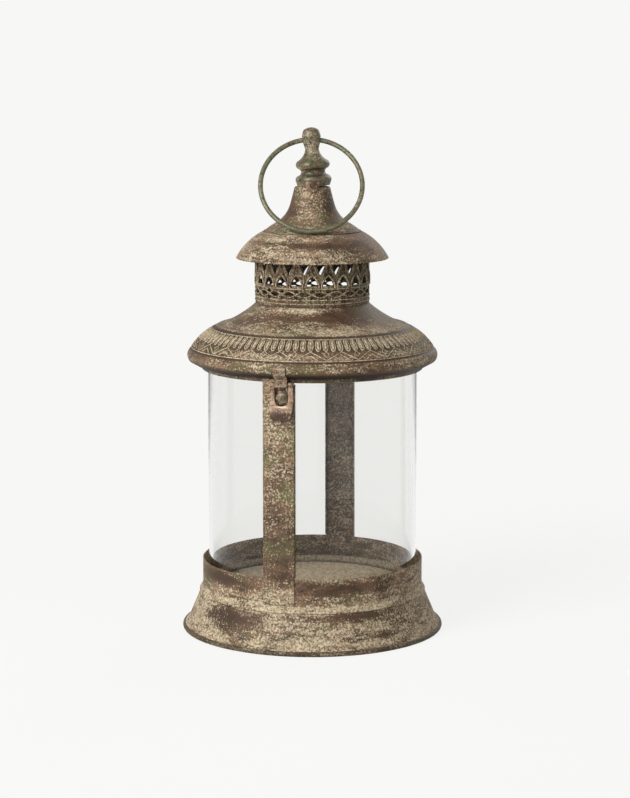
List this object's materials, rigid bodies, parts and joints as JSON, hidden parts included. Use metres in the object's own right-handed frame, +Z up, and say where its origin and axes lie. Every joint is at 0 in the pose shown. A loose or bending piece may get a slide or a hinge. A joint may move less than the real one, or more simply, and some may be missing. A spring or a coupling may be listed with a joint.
{
  "type": "candle lantern",
  "caption": "Round sheet-metal lantern: flared foot, glass chimney between two straps, hinged and latched roof with a punched gallery, hood, cone and a ring through the finial.",
  "frame": {"origin": "middle of the foot's underside, where the lantern stands", "axes": "+Z up along the lantern's axis, -Y to the hasp, +Y to the roof hinge"},
  "size_m": [0.161, 0.161, 0.3077],
  "materials": {
    "aged_tinplate": "matt, speckled cream over brown",
    "dark_tinplate": "matt, dark olive brown",
    "patinated_tinplate": "matt, olive patina",
    "cast_brass": "cast and turned, dull green-brown patina",
    "brass_wire": "drawn wire, green-brown patina",
    "clear_glass": "clear, slightly grey",
    "latch_plate": "worn, pinkish brown",
    "steel_fastener": "dull"
  },
  "bodies": {
    "base": {"foot_skirt": "aged_tinplate", "foot_edge_wire": "dark_tinplate", "base_collar": "aged_tinplate", "floor_tray": "dark_tinplate", "glass_chimney": "clear_glass", "front_strap": "aged_tinplate", "rear_strap": "aged_tinplate", "top_ring": "dark_tinplate", "latch_stud": "latch_plate", "hinge_lower_leaf": "latch_plate", "hinge_pin": "latch_plate", "hinge_rivets": "latch_plate"},
    "roof": {"roof_shell": "aged_tinplate", "gallery": "patinated_tinplate", "hood": "aged_tinplate", "cone": "aged_tinplate", "finial": "cast_brass", "finial_stud": "steel_fastener", "finial_washer": "steel_fastener", "finial_nut": "steel_fastener", "finial_tab": "cast_brass", "hinge_upper_leaf": "latch_plate", "hasp_hanger": "latch_plate"},
    "hasp": {"hasp": "latch_plate"},
    "carry_ring": {"carry_ring": "brass_wire"}
  },
  "joints": [
    {"name": "roof_hinge", "type": "hinge", "parent": "base", "child": "roof", "pos_m": [0, 0.0722, 0.1608], "axis": [-1, 0, 0], "range_deg": [0, 110]},
    {"name": "hasp_swing", "type": "hinge", "parent": "roof", "child": "hasp", "pos_m": [0.00136, -0.07099, 0.161], "axis": [-0.9998, -0.0192, 0], "range_deg": [0, 130]},
    {"name": "ring_swing", "type": "hinge", "parent": "roof", "child": "carry_ring", "pos_m": [-0.00052, -0.00015, 0.30011], "axis": [-0.9622, -0.2723, 0], "range_deg": [0, 300]}
  ]
}
